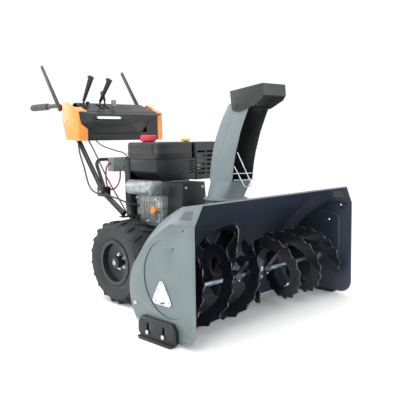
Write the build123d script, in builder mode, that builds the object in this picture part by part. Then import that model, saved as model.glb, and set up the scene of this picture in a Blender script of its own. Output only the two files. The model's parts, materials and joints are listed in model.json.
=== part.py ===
"""Two stage snowblower with a 1080 mm auger housing, in millimetres.

The origin is on the ground under the middle of the machine. +X points to the operator's left,
+Y to the operator and +Z up, so the auger housing opens towards -Y. Most places are given as
(x, back, z): x across, back the distance behind the housing's front edge, z above the ground.
"""
import os
from math import cos, pi, radians, sin, tan

from build123d import *

os.makedirs("parts", exist_ok=True)

# Driving dimensions
LENGTH = 1640
HOUSING_WIDTH = 1080
SHEET = 3
FRONT = -LENGTH / 2
HALF = HOUSING_WIDTH / 2
GAP = 0.3
RUNNING = 0.05

AUGER_BACK = 190
AUGER_Z = 185
AUGER_RADIUS = 168
RIBBON_WIDTH = 63
RIBBON_THICK = 4
RIBBON_PITCH = 330
RIBBON_START = 62
RIBBON_END = 500
AUGER_SHAFT_RADIUS = 12

WORM_LIFT = 45
IMPELLER_Z = AUGER_Z + WORM_LIFT
IMPELLER_RADIUS = 150
IMPELLER_SHAFT_RADIUS = 12
DRUM_RADIUS = 160
DRUM_REAR = 475

CHUTE_BACK = 345
CHUTE_RING_Z = 505
CHUTE_HALF = 70

WHEEL_BACK = 766
TYRE_RADIUS = 203
WHEEL_Z = TYRE_RADIUS
WHEEL_OUTER = 350
TYRE_WIDTH = 165
BEAD_RADIUS = 100
AXLE_RADIUS = 12.5

CHASSIS_HALF = 175
CHASSIS_TOP = 375

CRANK_X = -50
CRANK_Z = 470
CRANK_RADIUS = 12.5

HANDLE_X = 252
HANDLE_RADIUS = 12.5
GRIP_Z = 987
GRIP_RADIUS = 18
GRIP_START = 1470
CLUTCH_PIVOT = (1305, 966)


def at(x, back, z):
    """Point in the model's frame, from a distance behind the housing's front edge."""
    return Vector(x, FRONT + back, z)


def side(x):
    """Plane across the machine at x, drawn as (back, z), facing +X."""
    return Plane(at(x, 0, 0), x_dir=(0, 1, 0), z_dir=(1, 0, 0))


def wall(back):
    """Upright plane facing the front, drawn as (x, z)."""
    return Plane(at(0, back, 0), x_dir=(1, 0, 0), z_dir=(0, -1, 0))


def level(z):
    """Flat plane at height z, drawn as (x, back)."""
    return Plane(at(0, 0, z))


def polar(centre, radius, angle):
    """Point on a circle, from its centre, radius and angle in degrees."""
    return (centre[0] + radius * cos(radians(angle)), centre[1] + radius * sin(radians(angle)))


def block(x, back, z, mode=Mode.ADD):
    """Box from its three (low, high) ranges."""
    with Locations(at((x[0] + x[1]) / 2, (back[0] + back[1]) / 2, (z[0] + z[1]) / 2)):
        Box(x[1] - x[0], back[1] - back[0], z[1] - z[0], mode=mode)


def rod(start, end, radius, mode=Mode.ADD):
    """Round bar between two points."""
    with BuildSketch(Plane(start, z_dir=end - start)) as section:
        Circle(radius)
    extrude(section.sketch, amount=(end - start).length, mode=mode)


def cone(start, end, radius_start, radius_end, mode=Mode.ADD):
    """Tapered round bar between two points."""
    with BuildSketch(Plane(start, z_dir=end - start)) as low:
        Circle(radius_start)
    with BuildSketch(Plane(end, z_dir=end - start)) as high:
        Circle(radius_end)
    loft([low.sketch.face(), high.sketch.face()], mode=mode)


def prism(plane, points, amount, mode=Mode.ADD, rounding=0):
    """Closed outline on a plane, extruded."""
    with BuildSketch(plane) as outline:
        with BuildLine():
            Polyline(*points, close=True)
        make_face()
        if rounding:
            fillet(outline.vertices(), rounding)
    extrude(outline.sketch, amount=amount, mode=mode)


def bent_tube(points, radius, bends):
    """Round tube along straight runs joined by arcs."""
    with BuildLine() as path:
        FilletPolyline(*points, radius=bends)
    with BuildSketch(Plane(path.line @ 0, z_dir=path.line % 0)) as section:
        Circle(radius)
    sweep(section.sketch, path=path.line)
    return path.line


def save(builder, name):
    """Label a finished piece and write its STEP file."""
    builder.part.label = name
    export_step(builder.part, f"parts/{name}.step")


# Auger housing: a rolled wrapper whose ends taper down to the side plates

TAPER_START = HALF - 48
WRAPPER_END = HALF - SHEET


def housing_outline(x, lip, knee, crown, radius, start, end, low, front):
    """Closed outline of the housing's space on the plane at x."""
    centre = (AUGER_BACK, AUGER_Z)
    shoulder = polar(centre, radius, start)
    waist = polar(centre, radius, (start + end) / 2)
    heel = polar(centre, radius, end)
    with BuildSketch(side(x)) as outline:
        with BuildLine():
            Line((front, lip), knee)
            ThreePointArc(knee, crown, shoulder)
            ThreePointArc(shoulder, waist, heel)
            Polyline(heel, (heel[0], low), (front, low), (front, lip))
        make_face()
    return outline.sketch


def middle_outline(x, inset, front, low):
    """Outline of the wrapper between its two tapered ends."""
    knee = (110 - inset / 3, 536 - inset)
    crown = (255 - inset * 0.75, 452 - inset * 0.66)
    return housing_outline(x, 552 - inset, knee, crown, 235 - inset, 38, -46, low, front)


def end_outline(x, inset, front, low):
    """Outline of the wrapper where it meets a side plate."""
    knee = (130 - inset / 3, 474 - inset)
    crown = (253 - inset * 0.75, 395 - inset * 0.66)
    return housing_outline(x, 476 - inset, knee, crown, 200 - inset, 32, -50, low, front)


def housing_space(inset, front, low, end):
    """Solid that fills the housing, inset from its outer faces."""
    middle = middle_outline(-TAPER_START, inset, front, low)
    with BuildPart() as space:
        extrude(middle, amount=2 * TAPER_START)
        for way in (-1, 1):
            inner = middle_outline(way * TAPER_START, inset, front, low)
            outer = end_outline(way * end, inset, front, low)
            loft([inner.face(), outer.face()], ruled=True)
    return space.part


housing_outside = housing_space(0, 0, 15, WRAPPER_END)
housing_inside = housing_space(SHEET, -20, -5, WRAPPER_END)

with BuildPart() as drum_outside:
    rod(at(0, 250, IMPELLER_Z), at(0, DRUM_REAR, IMPELLER_Z), DRUM_RADIUS)

with BuildPart() as auger_housing:
    add(housing_outside)
    add(housing_inside, mode=Mode.SUBTRACT)
    add(drum_outside.part, mode=Mode.SUBTRACT)
save(auger_housing, "auger_housing")

# Side plates: flat sheet with a pressed D, a rolled front edge and a hole for the auger shaft

PLATE_HEEL = polar((AUGER_BACK, AUGER_Z), 200, -50)
PLATE_SHOULDER = polar((AUGER_BACK, AUGER_Z), 200, 32)
PLATE_WAIST = polar((AUGER_BACK, AUGER_Z), 200, -9)
PRESS_DEPTH = 5
PRESS_CENTRE = (140, 258)
PRESS_RADIUS = 158
CORNER = 62
PLATE_LOW = 14
EDGE_WIDTH = 13
EDGE_END = 86


def side_plate_outline(x):
    """Outline of a side plate."""
    corner_centre = (CORNER, PLATE_LOW + CORNER)
    with BuildSketch(side(x)) as outline:
        with BuildLine():
            Line((0, 476), (130, 474))
            ThreePointArc((130, 474), (253, 395), PLATE_SHOULDER)
            ThreePointArc(PLATE_SHOULDER, PLATE_WAIST, PLATE_HEEL)
            Polyline(PLATE_HEEL, (300, PLATE_LOW), (CORNER, PLATE_LOW))
            ThreePointArc((CORNER, PLATE_LOW), polar(corner_centre, CORNER, 225), (0, PLATE_LOW + CORNER))
            Line((0, PLATE_LOW + CORNER), (0, 476))
        make_face()
    return outline.sketch


def pressed_outline(x, inset):
    """D-shaped pressing of a side plate."""
    front = PRESS_CENTRE[0] - 72 + inset
    radius = PRESS_RADIUS - inset
    with BuildSketch(side(x)) as outline:
        with Locations(PRESS_CENTRE):
            Circle(radius)
        with Locations((front - 100, PRESS_CENTRE[1])):
            Rectangle(200, 400, mode=Mode.SUBTRACT)
        fillet(outline.vertices(), 28 - inset)
    return outline.sketch


def side_plate(way):
    """Side plate on the side that way points to."""
    outer = way * HALF
    with BuildPart() as plate:
        extrude(side_plate_outline(outer), amount=-way * SHEET)
        extrude(pressed_outline(outer, 0), amount=-way * (SHEET + PRESS_DEPTH))
        extrude(pressed_outline(outer, SHEET), amount=-way * PRESS_DEPTH, mode=Mode.SUBTRACT)
        with BuildSketch(side(outer)) as edge:
            with BuildLine():
                Polyline((0, 470), (0, PLATE_LOW + CORNER))
                ThreePointArc(
                    (0, PLATE_LOW + CORNER),
                    polar((CORNER, PLATE_LOW + CORNER), CORNER, 225),
                    (CORNER, PLATE_LOW),
                )
                Polyline(
                    (CORNER, PLATE_LOW),
                    (EDGE_END, PLATE_LOW),
                    (EDGE_END, PLATE_LOW + EDGE_WIDTH),
                    (CORNER, PLATE_LOW + EDGE_WIDTH),
                )
                ThreePointArc(
                    (CORNER, PLATE_LOW + EDGE_WIDTH),
                    polar((CORNER, PLATE_LOW + CORNER), CORNER - EDGE_WIDTH, 225),
                    (EDGE_WIDTH, PLATE_LOW + CORNER),
                )
                Polyline((EDGE_WIDTH, PLATE_LOW + CORNER), (EDGE_WIDTH, 470), (0, 470))
            make_face()
        extrude(edge.sketch, amount=way * SHEET)
        inside = at(way * (HALF - 30), AUGER_BACK, AUGER_Z)
        outside = at(way * (HALF + 30), AUGER_BACK, AUGER_Z)
        rod(inside, outside, 20, mode=Mode.SUBTRACT)
        for hole in ((59, 454), (123, 377)):
            rod(at(way * (HALF - 30), *hole), at(way * (HALF + 30), *hole), 4, mode=Mode.SUBTRACT)
    return plate


side_plate_left = side_plate(1)
save(side_plate_left, "side_plate_left")
side_plate_right = side_plate(-1)
save(side_plate_right, "side_plate_right")

# Skid shoes: each slides up and down on two bolts through its slots

SHOE_BACK = (93, 314)
SHOE_TOP = 90
SHOE_THICK = 24
SHOE_SLOTS = (155, 248)
SLOT_LOW = 34
SLOT_HIGH = 66
SHOE_BOLT_RADIUS = 5


def skid_shoe(way):
    """Skid shoe on the side that way points to."""
    inner = way * (HALF + GAP)
    low, high = SHOE_BACK
    with BuildPart() as shoe:
        outline = ((low + 16, 0), (high - 22, 0), (high, 26), (high, 70), (high - 18, SHOE_TOP),
                   (low + 22, SHOE_TOP), (low, 62), (low, 16))
        prism(side(inner), outline, way * SHOE_THICK)
        outer = shoe.faces().sort_by(Axis.X)[-1 if way > 0 else 0]
        chamfer(outer.edges(), 7)
        foot = ((low + 16, 0), (high - 22, 0), (high - 12, 12), (low + 6, 12))
        prism(side(inner), foot, way * (SHOE_THICK + 12))
        for back in SHOE_SLOTS:
            with BuildSketch(side(inner)) as slot:
                with Locations((back, (SLOT_LOW + SLOT_HIGH) / 2)):
                    SlotCenterToCenter(SLOT_HIGH - SLOT_LOW, 2 * SHOE_BOLT_RADIUS + 4, rotation=90)
            extrude(slot.sketch, amount=way * 60, mode=Mode.SUBTRACT)
    return shoe


skid_left = skid_shoe(1)
save(skid_left, "skid_left")
skid_right = skid_shoe(-1)
save(skid_right, "skid_right")

# Scraper bar under the wrapper's rear edge

with BuildPart() as scraper_bar:
    with BuildSketch(side(-480)) as bar:
        with Locations((AUGER_BACK, AUGER_Z)):
            Circle(242)
            Circle(236, mode=Mode.SUBTRACT)
        keep = [polar((AUGER_BACK, AUGER_Z), 300, angle) for angle in (-32, -48)]
        with BuildLine(mode=Mode.PRIVATE) as wedge:
            Polyline((AUGER_BACK, AUGER_Z), *keep, close=True)
        add(make_face(wedge.line, mode=Mode.PRIVATE), mode=Mode.INTERSECT)
    extrude(amount=960)
save(scraper_bar, "scraper_bar")

# Impeller drum: round case behind the wrapper, with the spout that carries the chute

SPOUT_START = 300
SPOUT_RADIUS = 95
SPOUT_NECK = 60
FLANGE_THICK = 5


def spout_cone(inset, start_z, end_z):
    """Solid of the spout, which leans forward as it widens."""
    start = at(0, 400, start_z)
    end = at(0, CHUTE_BACK, end_z)
    with BuildPart() as cone_part:
        with BuildSketch(Plane(start)) as low:
            Circle(SPOUT_NECK - inset)
        with BuildSketch(Plane(end)) as high:
            Circle(SPOUT_RADIUS - inset)
        loft([low.sketch.face(), high.sketch.face()])
    return cone_part.part


with BuildPart() as impeller_drum:
    add(drum_outside.part)
    add(spout_cone(0, SPOUT_START, CHUTE_RING_Z))
    rod(at(0, CHUTE_BACK, CHUTE_RING_Z - FLANGE_THICK), at(0, CHUTE_BACK, CHUTE_RING_Z), SPOUT_RADIUS + 9)
    rod(at(0, 200, IMPELLER_Z), at(0, DRUM_REAR - SHEET, IMPELLER_Z), DRUM_RADIUS - SHEET, mode=Mode.SUBTRACT)
    add(spout_cone(SHEET, SPOUT_START, CHUTE_RING_Z), mode=Mode.SUBTRACT)
    add(housing_outside, mode=Mode.SUBTRACT)
    block((-CHASSIS_HALF, CHASSIS_HALF), (DRUM_REAR, DRUM_REAR + 4), (110, CHASSIS_TOP))
    rod(at(0, DRUM_REAR - 8, IMPELLER_Z), at(0, DRUM_REAR + 10, IMPELLER_Z), 28)
    rod(at(0, 400, IMPELLER_Z), at(0, DRUM_REAR + 20, IMPELLER_Z), IMPELLER_SHAFT_RADIUS + RUNNING,
        mode=Mode.SUBTRACT)
save(impeller_drum, "impeller_drum")

# Auger bearings: three-cornered flanges on the pressed side plates

FLOOR_X = HALF - PRESS_DEPTH
BEARING_BOLTS = 45

with BuildPart() as auger_bearings:
    for way in (-1, 1):
        floor = way * FLOOR_X
        corners = [polar((AUGER_BACK, AUGER_Z), BEARING_BOLTS, angle) for angle in (90, 210, 330)]
        with BuildSketch(side(floor)) as flange:
            with Locations(*corners):
                Circle(15)
            make_hull()
        extrude(flange.sketch, amount=way * 5)
        cone(at(floor + way * 5, AUGER_BACK, AUGER_Z), at(floor + way * 17, AUGER_BACK, AUGER_Z), 33, 24)
        rod(at(floor - way * 6, AUGER_BACK, AUGER_Z), at(floor, AUGER_BACK, AUGER_Z), 19.5)
        rod(at(floor - way * 8, AUGER_BACK, AUGER_Z), at(floor + way * 11, AUGER_BACK, AUGER_Z),
            AUGER_SHAFT_RADIUS + RUNNING, mode=Mode.SUBTRACT)
save(auger_bearings, "auger_bearings")

# Gearbox case in the middle of the auger shaft, hollow for the worm and its wheel

CASE_HALF = 30
CASE_RADIUS = 46
WORM_RADIUS = 14
WORM_BACK = (160, 220)
WHEEL_GEAR_RADIUS = 30

with BuildPart() as gearbox_case:
    rod(at(-CASE_HALF, AUGER_BACK, AUGER_Z), at(CASE_HALF, AUGER_BACK, AUGER_Z), CASE_RADIUS)
    rod(at(-CASE_HALF - 12, AUGER_BACK, AUGER_Z), at(CASE_HALF + 12, AUGER_BACK, AUGER_Z), 24)
    rod(at(0, 138, IMPELLER_Z), at(0, 252, IMPELLER_Z), 26)
    rod(at(0, 130, IMPELLER_Z), at(0, 138, IMPELLER_Z), 20)
    rod(at(-14, AUGER_BACK, AUGER_Z), at(14, AUGER_BACK, AUGER_Z), WHEEL_GEAR_RADIUS + 6, mode=Mode.SUBTRACT)
    rod(at(0, 150, IMPELLER_Z), at(0, 232, IMPELLER_Z), WORM_RADIUS + 4, mode=Mode.SUBTRACT)
    shaft_bore = AUGER_SHAFT_RADIUS + RUNNING
    rod(at(-60, AUGER_BACK, AUGER_Z), at(60, AUGER_BACK, AUGER_Z), shaft_bore, mode=Mode.SUBTRACT)
    rod(at(0, 150, IMPELLER_Z), at(0, 260, IMPELLER_Z), IMPELLER_SHAFT_RADIUS + RUNNING, mode=Mode.SUBTRACT)
save(gearbox_case, "gearbox_case")

# Auger: shaft, two ribbon flights of opposite hand, shear bolts and worm wheel

AUGER_AXIS = Axis(at(0, AUGER_BACK, AUGER_Z), (1, 0, 0))
SHAFT_END = HALF + 4
HUB_RADIUS = 19
HUB_HALF = 22
HUB_PLACES = (100, 430)

with BuildPart() as auger_shaft:
    rod(at(-SHAFT_END, AUGER_BACK, AUGER_Z), at(SHAFT_END, AUGER_BACK, AUGER_Z), AUGER_SHAFT_RADIUS)
save(auger_shaft, "auger_shaft")


def ribbon_flights():
    """Both ribbons of the left auger, with the hubs and arms that hold them."""
    axis_start = at(RIBBON_START, AUGER_BACK, AUGER_Z)
    length = RIBBON_END - RIBBON_START
    middle_radius = AUGER_RADIUS - RIBBON_WIDTH / 2
    with BuildLine() as path:
        Helix(RIBBON_PITCH, length, middle_radius, center=axis_start, direction=(1, 0, 0))
    start = path.line @ 0
    with BuildPart() as ribbon:
        with BuildSketch(Plane(start, x_dir=start - axis_start, z_dir=path.line % 0)) as section:
            Rectangle(RIBBON_WIDTH, RIBBON_THICK)
        sweep(section.sketch, path=path.line, is_frenet=True)
    with BuildPart() as flights:
        add(ribbon.part)
        add(ribbon.part.rotate(AUGER_AXIS, 180))
        for place in HUB_PLACES:
            hub = at(place, AUGER_BACK, AUGER_Z)
            hub_end = at(place + HUB_HALF, AUGER_BACK, AUGER_Z)
            rod(at(place - HUB_HALF, AUGER_BACK, AUGER_Z), hub_end, HUB_RADIUS)
            tip = path.line @ ((place - RIBBON_START) / length)
            outward = Vector(0, tip.Y - hub.Y, tip.Z - hub.Z)
            with BuildSketch(Plane(hub, x_dir=(1, 0, 0), z_dir=outward)) as arm:
                Rectangle(34, 6)
            extrude(arm.sketch, amount=AUGER_RADIUS - RIBBON_WIDTH / 2, both=True)
        bore = AUGER_SHAFT_RADIUS + RUNNING / 5
        rod(axis_start, at(RIBBON_END, AUGER_BACK, AUGER_Z), bore, mode=Mode.SUBTRACT)
    return flights


auger_flights_left = ribbon_flights()
save(auger_flights_left, "auger_flights_left")

with BuildPart() as auger_flights_right:
    add(auger_flights_left.part.mirror(Plane.YZ))
save(auger_flights_right, "auger_flights_right")

with BuildPart() as shear_bolts:
    for place in (-HUB_PLACES[0], HUB_PLACES[0]):
        for end in (-1, 1):
            start = at(place + 16, AUGER_BACK, AUGER_Z + end * HUB_RADIUS)
            rod(start, start + Vector(0, 0, end * 6), 5)
save(shear_bolts, "shear_bolts")

with BuildPart() as worm_wheel:
    rod(at(-9, AUGER_BACK, AUGER_Z), at(9, AUGER_BACK, AUGER_Z), WHEEL_GEAR_RADIUS)
    rod(at(-9, AUGER_BACK, AUGER_Z), at(9, AUGER_BACK, AUGER_Z), AUGER_SHAFT_RADIUS, mode=Mode.SUBTRACT)
save(worm_wheel, "worm_wheel")

# Impeller: worm shaft, four-bladed fan and the pulley that drives them

SHAFT_REAR = 548
FAN_BACK = (372, 462)
BLADE_THICK = 5
PULLEY_BACK = (514, 532)
IMPELLER_PULLEY_RADIUS = 76
CRANK_PULLEY_RADIUS = 34
BELT_WIDTH = 10
BELT_DEPTH = 9

with BuildPart() as impeller_shaft:
    rod(at(0, WORM_BACK[0] - 6, IMPELLER_Z), at(0, SHAFT_REAR, IMPELLER_Z), IMPELLER_SHAFT_RADIUS)
    rod(at(0, WORM_BACK[0], IMPELLER_Z), at(0, WORM_BACK[1], IMPELLER_Z), WORM_RADIUS)
save(impeller_shaft, "impeller_shaft")

with BuildPart() as impeller_fan:
    rod(at(0, FAN_BACK[0], IMPELLER_Z), at(0, FAN_BACK[1], IMPELLER_Z), 30)
    with BuildSketch(wall(FAN_BACK[0])) as blades:
        with Locations((0, IMPELLER_Z)):
            with PolarLocations(0, 4, start_angle=45):
                with Locations((IMPELLER_RADIUS / 2, 0)):
                    Rectangle(IMPELLER_RADIUS - 6, BLADE_THICK)
                with Locations((IMPELLER_RADIUS - 12, 8)):
                    Rectangle(BLADE_THICK, 20)
    extrude(blades.sketch, amount=-(FAN_BACK[1] - FAN_BACK[0]))
    rod(at(0, FAN_BACK[0] - 1, IMPELLER_Z), at(0, FAN_BACK[1] + 1, IMPELLER_Z), IMPELLER_SHAFT_RADIUS,
        mode=Mode.SUBTRACT)
save(impeller_fan, "impeller_fan")


def pulley(x, z, radius, bore):
    """Grooved pulley at (x, z) on the belt's plane."""
    low, high = PULLEY_BACK
    middle = (low + high) / 2
    with BuildPart() as wheel:
        rod(at(x, low, z), at(x, high, z), radius + 4)
        with BuildPart(mode=Mode.PRIVATE) as groove:
            rod(at(x, middle - BELT_WIDTH / 2 - 1, z), at(x, middle + BELT_WIDTH / 2 + 1, z), radius + 10)
            rod(at(x, low, z), at(x, high, z), radius - BELT_DEPTH, mode=Mode.SUBTRACT)
        add(groove.part, mode=Mode.SUBTRACT)
        rod(at(x, low - 1, z), at(x, high + 1, z), bore, mode=Mode.SUBTRACT)
    return wheel


impeller_pulley = pulley(0, IMPELLER_Z, IMPELLER_PULLEY_RADIUS, IMPELLER_SHAFT_RADIUS)
save(impeller_pulley, "impeller_pulley")

# Crankshaft with its own pulley, and the slack belt between the two pulleys

crank_pulley = pulley(CRANK_X, CRANK_Z, CRANK_PULLEY_RADIUS, CRANK_RADIUS - 1)

with BuildPart() as crankshaft:
    rod(at(CRANK_X, 506, CRANK_Z), at(CRANK_X, 700, CRANK_Z), CRANK_RADIUS)
    add(crank_pulley.part)
save(crankshaft, "crankshaft")

with BuildPart() as auger_belt:
    belt_middle = (PULLEY_BACK[0] + PULLEY_BACK[1]) / 2
    with BuildSketch(wall(belt_middle - BELT_WIDTH / 2)) as loop:
        with Locations((0, IMPELLER_Z)):
            Circle(IMPELLER_PULLEY_RADIUS + 1)
        with Locations((CRANK_X, CRANK_Z)):
            Circle(CRANK_PULLEY_RADIUS + 1)
        make_hull()
        offset(amount=-BELT_DEPTH, mode=Mode.SUBTRACT)
    extrude(loop.sketch, amount=-BELT_WIDTH)
save(auger_belt, "auger_belt")

# Belt cover over both pulleys

COVER_BACK = (500, 600)
COVER_SHEET = 2.5


def cover_outline(back):
    """Front outline of the belt cover."""
    with BuildSketch(wall(back)) as outline:
        with BuildLine():
            Polyline((96, IMPELLER_Z), (30, 480), (20, 585), (-125, 585), (-135, 420), (-96, IMPELLER_Z))
            ThreePointArc((-96, IMPELLER_Z), (0, IMPELLER_Z - 96), (96, IMPELLER_Z))
        make_face()
    return outline.sketch


with BuildPart() as belt_cover:
    extrude(cover_outline(COVER_BACK[0]), amount=COVER_BACK[0] - COVER_BACK[1])
    with BuildSketch(wall(COVER_BACK[0] + COVER_SHEET)) as hollow:
        add(cover_outline(0).moved(Location((0, COVER_BACK[0] + COVER_SHEET, 0))))
        offset(amount=-COVER_SHEET)
    extrude(hollow.sketch, amount=COVER_BACK[0] - COVER_BACK[1], mode=Mode.SUBTRACT)
    rod(at(0, 490, IMPELLER_Z), at(0, 510, IMPELLER_Z), 20, mode=Mode.SUBTRACT)
save(belt_cover, "belt_cover")

# Chassis: two side plates and a deck, open below, carrying the axle

CHASSIS_REAR = 890
DECK_REAR = 802
CHASSIS_LOW = 110

with BuildPart() as chassis_frame:
    outline = ((DRUM_REAR + 4, CHASSIS_LOW), (DRUM_REAR + 4, CHASSIS_TOP), (DECK_REAR, CHASSIS_TOP),
               (DECK_REAR + 2, 300), (CHASSIS_REAR, 300), (CHASSIS_REAR, CHASSIS_LOW))
    prism(side(-CHASSIS_HALF), outline, 2 * CHASSIS_HALF)
    block((-CHASSIS_HALF + SHEET, CHASSIS_HALF - SHEET), (DRUM_REAR, COVER_BACK[1]), (0, 500), Mode.SUBTRACT)
    block((-CHASSIS_HALF + SHEET, CHASSIS_HALF - SHEET), (COVER_BACK[1] + SHEET, DECK_REAR - SHEET),
          (CHASSIS_LOW - 1, CHASSIS_TOP - SHEET), Mode.SUBTRACT)
    block((-CHASSIS_HALF + SHEET, CHASSIS_HALF - SHEET), (COVER_BACK[1] + SHEET, CHASSIS_REAR - SHEET),
          (CHASSIS_LOW - 1, 300 - SHEET), Mode.SUBTRACT)
    rod(at(-200, WHEEL_BACK, WHEEL_Z), at(200, WHEEL_BACK, WHEEL_Z), AXLE_RADIUS + RUNNING, Mode.SUBTRACT)
save(chassis_frame, "chassis_frame")

# Wheels: one live axle through both rims, and two tyres

RIM_CENTRE = WHEEL_OUTER - TYRE_WIDTH / 2
DISC_OUT = 28


def turned(x, way, points):
    """Ring turned about the axle from (out, radius) points, out measured away from the machine."""
    with BuildPart() as ring:
        with BuildSketch(Plane(at(x, WHEEL_BACK, WHEEL_Z), x_dir=(way, 0, 0), z_dir=(0, -way, 0))) as section:
            with BuildLine():
                Polyline(*points, close=True)
            make_face()
        revolve(section.sketch, axis=Axis(at(x, WHEEL_BACK, WHEEL_Z), (1, 0, 0)))
    return ring


half_tread = TYRE_WIDTH / 2
TYRE_SECTION = (
    (-70, BEAD_RADIUS + 12), (-half_tread, 140), (-half_tread, 176), (-half_tread + 22, TYRE_RADIUS - 4),
    (-30, TYRE_RADIUS), (30, TYRE_RADIUS), (half_tread - 22, TYRE_RADIUS - 4), (half_tread, 176),
    (half_tread, 140), (70, BEAD_RADIUS + 12), (62, BEAD_RADIUS + GAP), (50, BEAD_RADIUS + GAP),
    (56, BEAD_RADIUS + 16), (half_tread - 12, 142), (half_tread - 12, 172), (half_tread - 26, 186),
    (-half_tread + 26, 186), (-half_tread + 12, 172), (-half_tread + 12, 142), (-56, BEAD_RADIUS + 16),
    (-50, BEAD_RADIUS + GAP), (-62, BEAD_RADIUS + GAP),
)
RIM_SECTION = (
    (-74, BEAD_RADIUS - 7), (-74, BEAD_RADIUS + 11), (-70.5, BEAD_RADIUS + 11), (-66.5, BEAD_RADIUS),
    (66.5, BEAD_RADIUS), (70.5, BEAD_RADIUS + 11), (74, BEAD_RADIUS + 11), (74, BEAD_RADIUS - 7),
)
DISC_SECTION = (
    (DISC_OUT, AXLE_RADIUS), (DISC_OUT, 60),
    (DISC_OUT + 10, BEAD_RADIUS - 3), (DISC_OUT + 15, BEAD_RADIUS - 3),
    (DISC_OUT + 6, 56), (DISC_OUT + 6, 30), (DISC_OUT + 40, 26), (DISC_OUT + 40, AXLE_RADIUS),
)

for way, name in ((1, "tyre_left"), (-1, "tyre_right")):
    tyre = turned(way * RIM_CENTRE, way, TYRE_SECTION)
    save(tyre, name)

with BuildPart() as wheel_rims:
    for way in (-1, 1):
        add(turned(way * RIM_CENTRE, way, RIM_SECTION).part)
        add(turned(way * RIM_CENTRE, way, DISC_SECTION).part)
save(wheel_rims, "wheel_rims")

with BuildPart() as drive_axle:
    axle_end = RIM_CENTRE + DISC_OUT + 46
    rod(at(-axle_end, WHEEL_BACK, WHEEL_Z), at(axle_end, WHEEL_BACK, WHEEL_Z), AXLE_RADIUS)
    rod(at(-30, WHEEL_BACK, WHEEL_Z), at(30, WHEEL_BACK, WHEEL_Z), 60)
save(drive_axle, "drive_axle")

# Engine: crankcase and cylinder block, with a bore for the crankshaft and a filler for the dipstick

BLOCK_LEFT = -172
BLOCK_BACK = (620, 800)

with BuildPart() as engine_block:
    block((BLOCK_LEFT, 110), BLOCK_BACK, (CHASSIS_TOP, 522))
    fillet(engine_block.edges().filter_by(Axis.Z), 14)
    block((-136, 50), (640, 790), (522, 655))
    block((BLOCK_LEFT + 8, 100), (BLOCK_BACK[0] - 12, BLOCK_BACK[0]), (CHASSIS_TOP + 12, 515))
    rod(at(CRANK_X, 602, CRANK_Z), at(CRANK_X, 620, CRANK_Z), 34)
    rod(at(-150, 625, 445), at(-196, 625, 455), 13)
    rod(at(-168, 625, 448.9), at(-200, 625, 455.9), 8.5, mode=Mode.SUBTRACT)
    rod(at(CRANK_X, 590, CRANK_Z), at(CRANK_X, 702, CRANK_Z), CRANK_RADIUS + RUNNING, mode=Mode.SUBTRACT)
save(engine_block, "engine_block")

with BuildPart() as oil_dipstick:
    start = at(-196, 625, 455)
    along = (start - at(-150, 625, 445)).normalized()
    rod(start + along * GAP, start + along * 14, 17)
    rod(start - along * 20, start + along, 7.5)
save(oil_dipstick, "oil_dipstick")

# Blower housing behind the block, with the recoil handle

SHROUD_BACK = (806, 862)
SHROUD_RADIUS = 150
RECOIL_X = -20
RECOIL_Z = CRANK_Z + 80

with BuildPart() as engine_shroud:
    rod(at(CRANK_X, SHROUD_BACK[0], CRANK_Z), at(CRANK_X, SHROUD_BACK[1] - 16, CRANK_Z), SHROUD_RADIUS)
    cone(at(CRANK_X, SHROUD_BACK[1] - 16, CRANK_Z), at(CRANK_X, SHROUD_BACK[1], CRANK_Z), SHROUD_RADIUS, 120)
    block((-200, 100), (SHROUD_BACK[0], SHROUD_BACK[1] - 16), (CRANK_Z, 694))
    bore_end = at(CRANK_X, SHROUD_BACK[1] - 6, CRANK_Z)
    rod(at(CRANK_X, SHROUD_BACK[0] - 1, CRANK_Z), bore_end, 112, Mode.SUBTRACT)
    block((-194, 94), (SHROUD_BACK[0] - 1, SHROUD_BACK[1] - 22), (590, 688), Mode.SUBTRACT)
    rod(at(-130, 846, 655), at(-130, 892, 655), 45)
    rod(at(RECOIL_X, 840, RECOIL_Z), at(RECOIL_X, 880, RECOIL_Z), 8, Mode.SUBTRACT)
save(engine_shroud, "engine_shroud")

with BuildPart() as recoil_handle:
    block((RECOIL_X - 45, RECOIL_X + 45), (868, 890), (RECOIL_Z - 14, RECOIL_Z + 14))
    fillet(recoil_handle.edges(), 9)
    rod(at(RECOIL_X, 850, RECOIL_Z), at(RECOIL_X, 870, RECOIL_Z), 3)
save(recoil_handle, "recoil_handle")

# Snow shield under the tank: a bent cover open to the rear and below

SHIELD_TOP = 698
SHIELD_LOW = 604

with BuildPart() as snow_shield:
    outline = ((-200, SHIELD_TOP), (55, SHIELD_TOP), (55, SHIELD_LOW - 12), (-140, SHIELD_LOW - 12),
               (-200, 640))
    prism(wall(600), outline, -200)
    hollow = ((-197, SHIELD_TOP - 3), (52, SHIELD_TOP - 3), (52, SHIELD_LOW - 40), (-137, SHIELD_LOW - 40),
              (-137, SHIELD_LOW - 9), (-197, 642))
    prism(wall(604), hollow, -200, Mode.SUBTRACT)
    for step in range(5):
        low = 622 + step * 14
        prism(wall(590), ((14, low), (46, low + 5), (46, low + 10), (14, low + 5)), -20, Mode.SUBTRACT)
save(snow_shield, "snow_shield")

# Muffler and its guard

GUARD_X = (60, 216)
GUARD_BACK = (604, 790)
GUARD_Z = (588, 778)

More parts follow.
